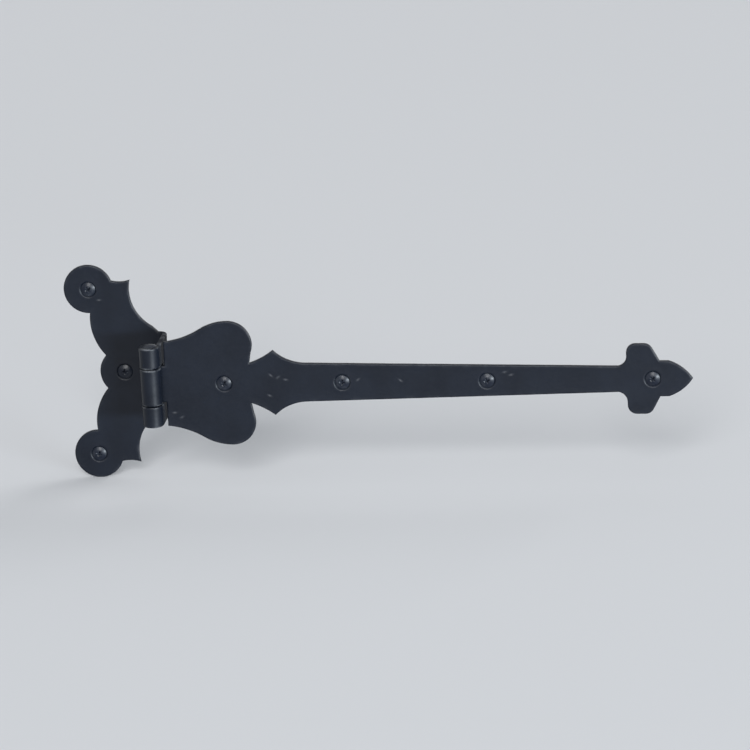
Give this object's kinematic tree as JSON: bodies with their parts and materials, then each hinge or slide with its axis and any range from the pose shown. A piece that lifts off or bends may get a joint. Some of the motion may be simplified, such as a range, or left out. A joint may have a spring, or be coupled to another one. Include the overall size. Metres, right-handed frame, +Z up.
{
  "type": "strap hinge",
  "caption": "Black strap hinge: a cranked butterfly frame leaf and a long strap with a heart-shaped root, side points and a cross-and-arrow tip turn on a pin, with wood screws in place.",
  "frame": {"origin": "on the frame leaf's flat back face, straight behind the middle of the pin", "axes": "+X along the strap towards its tip, +Y into the frame and the door, so that the front faces look along -Y, +Z up along the pin"},
  "size_m": [0.3, 0.0452, 0.106],
  "materials": {
    "leaf_paint": "satin black paint",
    "pin_paint": "satin black paint",
    "screw_paint": "satin black paint, worn on the crowns"
  },
  "bodies": {
    "frame": {"frame_leaf": "leaf_paint", "hinge_pin": "pin_paint", "frame_screw_upper": "screw_paint", "frame_screw_middle": "screw_paint", "frame_screw_lower": "screw_paint"},
    "strap": {"strap_leaf": "leaf_paint", "strap_screw_heart": "screw_paint", "strap_screw_inner": "screw_paint", "strap_screw_outer": "screw_paint", "strap_screw_tip": "screw_paint"}
  },
  "joints": [
    {"name": "strap_swing", "type": "hinge", "parent": "frame", "child": "strap", "pos_m": [0, -0.02595, 0], "axis": [0, 0, -1], "range_deg": [0, 180]}
  ]
}
